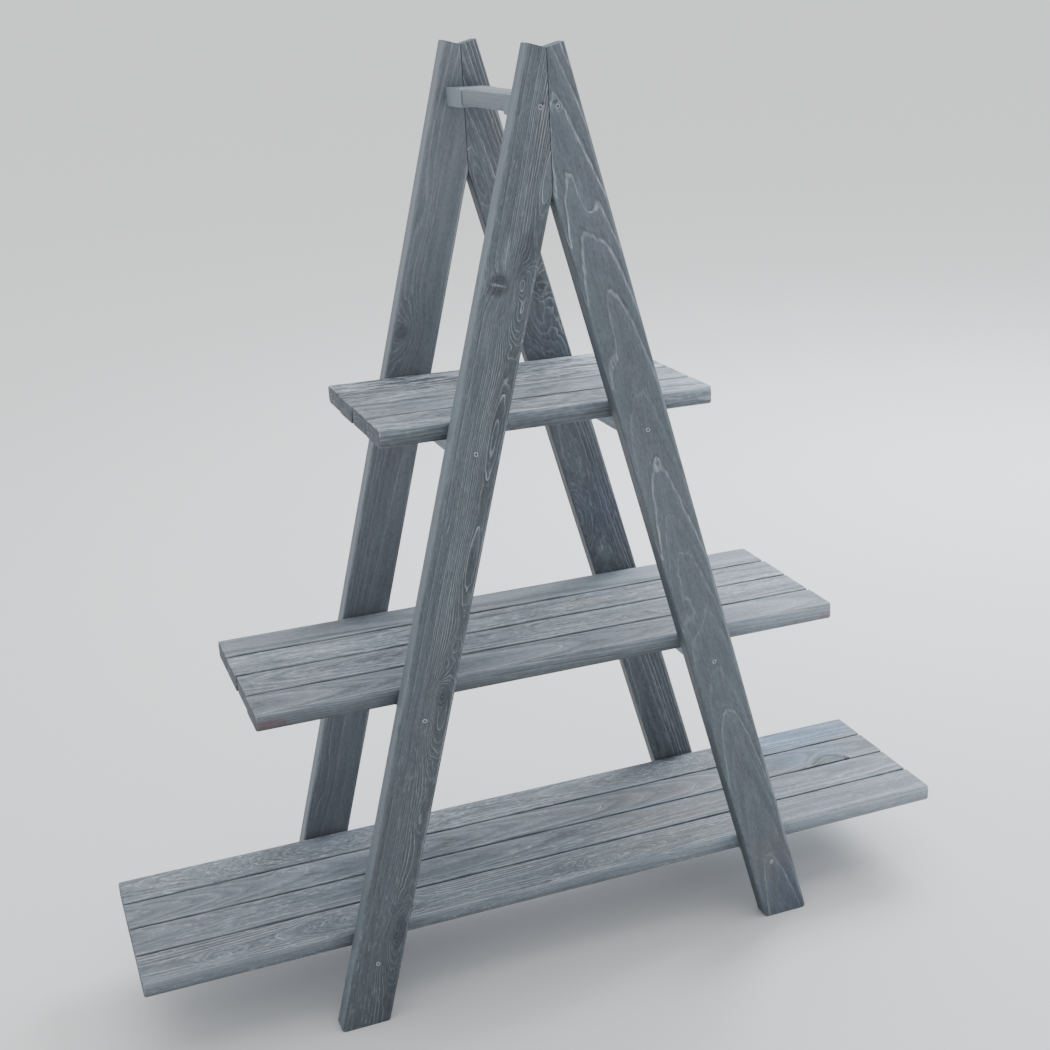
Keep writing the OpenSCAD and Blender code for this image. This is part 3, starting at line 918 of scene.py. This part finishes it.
def slat_tree():
    """A planed slat along X: rounded long edges, rounded corners, eased ends, edges not quite straight."""
    sheet, into, leaving = shape_group(
        "planed_slat",
        "Length, Width, Thickness, Edge radius, Inner edge radius, Corner radius, Inner corner radius, "
        "End ease, Unevenness, Fullness, Front outer, Back outer, Seed")
    corner, half = into.corner_radius, into.length * 0.5

    # the outlines' places, close together round the corners and evenly spread between them
    middle = CORNER_STEPS + MIDDLE_STEPS
    from_middle = sheet.lay("GeometryNodeInputIndex") - middle
    step = middle - abs(from_middle)
    turn = sheet.math("MINIMUM", step / CORNER_STEPS, 1.0) * math.pi * 0.5
    run = sheet.larger(step - CORNER_STEPS, 0.0) / MIDDLE_STEPS
    inset = corner * (1.0 - sheet.math("COSINE", turn)) + run * (half - corner)
    line = sheet.lay("GeometryNodeMeshLine", {"Count": int(2 * middle + 1)})
    line = placed_at(sheet, line, sheet.vector(sheet.math("SIGN", from_middle) * (half - inset), 0.0, 0.0))
    path = sheet.lay("GeometryNodeMeshToCurve", {0: line})
    x, y, z = sheet.split(sheet.lay("GeometryNodeInputPosition"))

    def either(share, first, second):
        return share * first + (1.0 - share) * second

    def outer_share(towards_back):
        """1 where the side is an outer one of the shelf, 0 where it faces the next slat."""
        return either(sheet.smooth(towards_back, -0.001, 0.001), into.back_outer, into.front_outer)

    outline = sheet.lay("GeometryNodeCurvePrimitiveQuadrilateral", {
        "Width": into.width, "Height": into.thickness})
    edge = either(outer_share(x * PROFILE_SIDE), into.edge_radius, into.inner_edge_radius)
    rounded = {"Curve": outline, "Radius": edge, "Count": EDGE_STEPS}
    board = sweep(sheet, path, sheet.lay("GeometryNodeFilletCurve", rounded, mode="POLY"))
    from_end = half - abs(x)
    side, face = sheet.math("SIGN", y), sheet.math("SIGN", z)
    outer = outer_share(y)

    def wander(pace, off, seed, detail):
        """Noise along the slat, another one on each of its sides."""
        place = sheet.vector(x * pace, side * 3.0, off)
        inputs = {"Vector": place, "W": seed, "Scale": 1.0, "Detail": detail}
        return sheet.lay("ShaderNodeTexNoise", inputs, noise_dimensions="4D")

    def eased(radius):
        """How far the outline draws in near an end, round a quarter circle of this radius."""
        into_corner = sheet.larger(radius - from_end, 0.0)
        return radius - sheet.root(sheet.larger(radius * radius - into_corner * into_corner, 0.0))

    hollow = sheet.larger(
        sheet.spread(wander(9.0, face * 5.0, into.seed, 2.0), -1.0, 1.6), 0.0) * into.unevenness
    full = sheet.smooth(wander(14.0, 0.0, into.seed + 40.0, 3.0), 0.3, 0.6) * (1.0 - outer) * into.fullness
    narrower = side * (eased(either(outer, corner, into.inner_corner_radius)) + hollow - full)
    thinner = face * eased(into.end_ease)
    return finish_shape(
        sheet, into, leaving, placed_at(sheet, board, sheet.vector(x, y - narrower, z - thinner)))


def screw_tree():
    """Countersunk screws with a six-lobed recess and a thread, one at each point, driven along its drive."""
    sheet, into, leaving = shape_group("countersunk_screws", "Head, Shank, Length, Recess, Pitch, Spin seed")
    head, shank, length = into.head * 0.5, into.shank * 0.5, into.length
    core, plain, point = shank * CORE, length * PLAIN, into.shank * POINT
    head_height = head - shank
    threaded = length - plain - point

    def cone(lower, upper, height, z):
        made = sheet.lay("GeometryNodeMeshCone", {
            "Vertices": SHANK_DETAIL, "Radius Bottom": lower, "Radius Top": upper, "Depth": height})
        return moved(sheet, made, z * -1.0)

    star = sheet.lay("GeometryNodeCurveStar", {
        "Points": LOBES, "Inner Radius": head * STAR_INNER, "Outer Radius": head * STAR_OUTER})
    star = sheet.lay("GeometryNodeCurveSplineType", {"Curve": star}, spline_type="CATMULL_ROM")
    star = sheet.lay("GeometryNodeResampleCurve", {"Curve": star, "Count": STAR_STEPS})
    drop = sheet.lay("GeometryNodeCurvePrimitiveLine", {
        "Start": (0.0, 0.0, 0.001), "End": sheet.vector(0.0, 0.0, into.recess * -1.0)})
    top = sheet.lay("GeometryNodeMeshBoolean", {
        "Mesh 1": cone(shank, head, head_height, head_height),
        "Mesh 2": sweep(sheet, drop, star)}, operation="DIFFERENCE")
    coil = sheet.lay("GeometryNodeCurveSpiral", {
        "Resolution": THREAD_STEPS, "Rotations": threaded / into.pitch, "Start Radius": core,
        "End Radius": core, "Height": threaded})
    ridge = sheet.lay("GeometryNodeCurvePrimitiveCircle", {"Resolution": 3, "Radius": shank - core})
    screw = joined(
        sheet, top, cone(shank, shank, plain - head_height, plain),
        cone(core, core, threaded + STEM_LAP, length - point), cone(TIP_RADIUS, core, point, length),
        moved(sheet, sweep(sheet, coil, ridge), (length - point) * -1.0))
    x, y, _ = sheet.split(sheet.lay("GeometryNodeInputPosition"))
    screw = sheet.lay("GeometryNodeStoreNamedAttribute", {
        "Geometry": screw, "Name": "outward", "Value": sheet.root(x * x + y * y) / head},
        data_type="FLOAT", domain="POINT")
    drive = sheet.lay("GeometryNodeInputNamedAttribute", {"Name": "drive"}, data_type="FLOAT_VECTOR")
    back = sheet.lay("ShaderNodeVectorMath", {0: drive, "Scale": -1.0}, operation="SCALE")
    aim = sheet.lay("FunctionNodeAlignRotationToVector", {"Vector": back}, axis="Z")
    spin = sheet.node("FunctionNodeRandomValue", {"Max": math.tau, "Seed": into.spin_seed}, data_type="FLOAT")
    twist = sheet.lay("FunctionNodeEulerToRotation", {0: sheet.vector(0.0, 0.0, sheet.out(spin, 1))})
    turned = sheet.lay("FunctionNodeRotateRotation", {
        "Rotation": aim, "Rotate By": twist}, rotation_space="LOCAL")
    placed = sheet.lay("GeometryNodeInstanceOnPoints", {
        "Points": into.geometry, "Instance": screw, "Rotation": turned})
    return finish_shape(sheet, into, leaving, placed)


SHARP_FROM = math.radians(32.0)


def make_piece(name, tree, values, start=None):
    """Run a shape tree once and keep its result as a plain mesh on an object at the origin."""
    source = bpy.data.objects.new(name + "_source", start or bpy.data.meshes.new(name + "_start"))
    bpy.context.scene.collection.objects.link(source)
    maker = source.modifiers.new("shape", "NODES")
    maker.node_group = tree
    for item in tree.interface.items_tree:
        if item.in_out == "INPUT" and item.name in values:
            maker[item.identifier] = values[item.name]
    bpy.context.view_layer.update()
    shaped = source.evaluated_get(bpy.context.evaluated_depsgraph_get())
    mesh = bpy.data.meshes.new_from_object(shaped)
    source.modifiers.remove(maker)
    bpy.data.objects.remove(source)
    mesh.name = name
    mesh.shade_smooth()
    mesh.set_sharp_from_angle(angle=SHARP_FROM)
    piece = bpy.data.objects.new(name, mesh)
    bpy.context.scene.collection.objects.link(piece)
    return piece


def stand_for(piece, node):
    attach(piece, "root")
    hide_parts(node)


SLAT_SHAPE = {"Edge radius": SLAT_EDGE, "Corner radius": 0.004, "Inner corner radius": 0.002,
              "End ease": 0.0012, "Unevenness": 0.0005}
FULLNESS = {"top": 0.0, "middle": 0.0004, "bottom": 0.0007}  # how far a slat swells towards the next one
INNER_EDGE = {"top": 0.0035, "middle": 0.003, "bottom": 0.0025}
END_TRIM, TRIM_SEED = 0.0025, 7
UNTRIMMED = (1, 3)  # the slats of a shelf that keep their full length


def build_slats(boards, finishes):
    """Twelve slats; the second and the last of each shelf are sawn a little short."""
    tree = slat_tree()
    draw = random.Random(TRIM_SEED)
    slats = [board for board in boards.values() if board.kind == "slat"]
    for number, board in enumerate(slats):
        shelf, place = board.name.split("_")[0], number % len(SLATS) + 1
        trims = [0.0 if place in UNTRIMMED else draw.uniform(0.0, END_TRIM) for _ in range(2)]
        piece = make_piece(board.name.replace("shelf_slat", "slat"), tree, {
            **SLAT_SHAPE, "Length": board.length - sum(trims), "Width": board.width,
            "Thickness": board.thickness, "Inner edge radius": INNER_EDGE[shelf], "Fullness": FULLNESS[shelf],
            "Front outer": float(place == SLATS[0]), "Back outer": float(place == SLATS[-1]),
            "Seed": float(number), "Finish": finishes[board.name]})
        piece.data.transform(Matrix.Translation(board.centre + Vector(((trims[0] - trims[1]) / 2, 0.0, 0.0))))
        stand_for(piece, board.name)


LEG_SCREW = {"Head": 0.0075, "Shank": 0.0045, "Length": 0.0507, "Recess": 0.0013, "Pitch": 0.0024}
SLAT_SCREW = {"Head": 0.0075, "Shank": 0.004, "Length": 0.0447, "Recess": 0.0014, "Pitch": 0.0024}
HEAD_SINK = 0.0003
SCREW_RISE = 0.003  # a bearer's screws, above its middle
APEX_SCREW = 0.011  # a cleat's screws, to both sides of the stand's middle


def build_screws(boards, finish):
    """All screws, each driven where its hole is."""
    tree = screw_tree()
    front = (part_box("front_left_leg")[0].y, (0.0, 1.0, 0.0))
    back = (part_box("back_left_leg")[1].y, (0.0, -1.0, 0.0))
    driven = {"bearer_screws": [], "cleat_screws": [], "slat_screws": []}
    for name, board in boards.items():
        x, _, z = board.centre
        if name.endswith("_bearer"):
            for y, drive in (front, back):
                driven["bearer_screws"].append(((x, y, z + SCREW_RISE), drive))
            for k in SLATS:
                y = boards[f"{name.split('_')[0]}_shelf_slat_{k}"].centre.y
                driven["slat_screws"].append(((x, y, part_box(name)[0].z), (0.0, 0.0, 1.0)))
        if name.endswith("_cleat"):
            y, drive = front if name.startswith("front") else back
            for x in (-APEX_SCREW, APEX_SCREW):
                driven["cleat_screws"].append(((x, y, z), drive))
    for seed, (name, places) in enumerate(driven.items()):
        start = bpy.data.meshes.new(name + "_places")
        start.from_pydata([Vector(place) + Vector(drive) * HEAD_SINK for place, drive in places], [], [])
        start.attributes.new("drive", "FLOAT_VECTOR", "POINT").data.foreach_set(
            "vector", [value for _, drive in places for value in drive])
        sizes = SLAT_SCREW if name == "slat_screws" else LEG_SCREW
        values = {**sizes, "Spin seed": seed, "Finish": finish}
        piece = make_piece(name.replace("screws", "fixings"), tree, values, start)
        stand_for(piece, name)


def finish_boards(boards):
    """A finish for each board, by name; the ones whose solids stay get it at once."""
    groups = {"rings": ring_group(), "knot": knot_group(), "wear": edge_marks_group(), "fibre": fibre_group(),
              "stain": stain_and_shade_group(), "patch": patch_group()}
    finishes = {}
    for number, (name, board) in enumerate(boards.items()):
        figure = FIGURES.get(name) or chance_figure(FIRST_CHANCE_SEED + number)
        finishes[name] = wood(board, figure, groups)
        if board.kind != "slat":
            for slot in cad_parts[name].material_slots:
                slot.material = finishes[name]
    return finishes


# ---------------------------------------------------------------- camera, floor and light

CAMERA_PLACE = (-0.6702, -1.9475, 1.3028)
CAMERA_PAN = math.radians(22.434)
CAMERA_PITCH = math.radians(-20.568)
CAMERA_ROLL = math.radians(-1.926)
CAMERA_LENS = 53.035
CAMERA_SHIFT = (-0.0844, 0.0529)
FLOOR_FLAT, FLOOR_REACH, FLOOR_RISE = 12.0, 70.0, 9.0
FLOOR_SIDES, FLOOR_RINGS = 96, 24
FLOOR_COLOUR = (0.94, 0.94, 0.94, 1.0)
AIR_COLOUR = (0.95, 0.97, 1.0, 1.0)
LIT_PLACE = Vector((0.0, 0.0, 0.5))
SKY = {"place": (0.6, 1.2, 4.0), "strength": 1.3, "spread": math.radians(80.0), "colour": (1.0, 1.0, 1.0)}
WINDOW = {"place": (2.1, 1.5, 2.2), "strength": 300.0, "spread": 0.8, "colour": (0.90, 0.95, 1.0)}


def add_camera():
    camera = bpy.data.objects.new("camera", bpy.data.cameras.new("camera"))
    camera.data.sensor_width = 36.0
    camera.data.lens = CAMERA_LENS
    camera.data.shift_x, camera.data.shift_y = CAMERA_SHIFT
    forward = Vector((math.sin(CAMERA_PAN) * math.cos(CAMERA_PITCH),
                      math.cos(CAMERA_PAN) * math.cos(CAMERA_PITCH), math.sin(CAMERA_PITCH)))
    right = Vector((math.cos(CAMERA_PAN), -math.sin(CAMERA_PAN), 0.0))
    up = right.cross(forward)
    tilted_right = right * math.cos(CAMERA_ROLL) + up * math.sin(CAMERA_ROLL)
    tilted_up = up * math.cos(CAMERA_ROLL) - right * math.sin(CAMERA_ROLL)
    turn = Matrix((tilted_right, tilted_up, -forward)).transposed()
    camera.matrix_world = Matrix.Translation(CAMERA_PLACE) @ turn.to_4x4()
    bpy.context.scene.collection.objects.link(camera)
    bpy.context.scene.camera = camera


def add_floor():
    """A pale floor that rises far away, so that it fills the view behind the stand."""
    points, faces = [(0.0, 0.0, 0.0)], []
    for ring in range(1, FLOOR_RINGS + 1):
        radius = FLOOR_REACH * ring / FLOOR_RINGS
        height = FLOOR_RISE * max(0.0, (radius - FLOOR_FLAT) / (FLOOR_REACH - FLOOR_FLAT)) ** 2
        for side in range(FLOOR_SIDES):
            angle = math.tau * side / FLOOR_SIDES
            points.append((radius * math.cos(angle), radius * math.sin(angle), height))
    for side in range(FLOOR_SIDES):
        after = (side + 1) % FLOOR_SIDES
        faces.append((0, 1 + side, 1 + after))
        for ring in range(FLOOR_RINGS - 1):
            inner, outer = 1 + ring * FLOOR_SIDES, 1 + (ring + 1) * FLOOR_SIDES
            faces.append((inner + side, outer + side, outer + after, inner + after))
    mesh = bpy.data.meshes.new("floor")
    mesh.from_pydata(points, [], faces)
    mesh.shade_smooth()
    floor = bpy.data.objects.new("floor", mesh)
    bpy.context.scene.collection.objects.link(floor)
    material, sheet = start_material("pale_floor")
    surface(sheet, {"Base Color": FLOOR_COLOUR, "Roughness": 0.9})
    mesh.materials.append(material)


def add_light(name, kind, spread_name, place, strength, spread, colour):
    """A soft light that shines from a place towards the middle of the stand."""
    light = bpy.data.lights.new(name, kind)
    light.energy = strength
    light.color = colour
    setattr(light, spread_name, spread)
    holder = bpy.data.objects.new(name, light)
    holder.location = place
    holder.rotation_euler = (LIT_PLACE - Vector(place)).to_track_quat("-Z", "Y").to_euler()
    bpy.context.scene.collection.objects.link(holder)


def add_light_and_air():
    world = bpy.data.worlds.new("studio")
    world.use_nodes = True
    background = world.node_tree.nodes["Background"]
    background.inputs["Color"].default_value = AIR_COLOUR
    background.inputs["Strength"].default_value = 0.75
    bpy.context.scene.world = world
    add_light("skylight", "SUN", "angle", **SKY)
    add_light("window", "POINT", "shadow_soft_size", **WINDOW)


stand_boards = all_boards()
board_finishes = finish_boards(stand_boards)
build_slats(stand_boards, board_finishes)
build_screws(stand_boards, metal())
add_camera()
add_floor()
add_light_and_air()
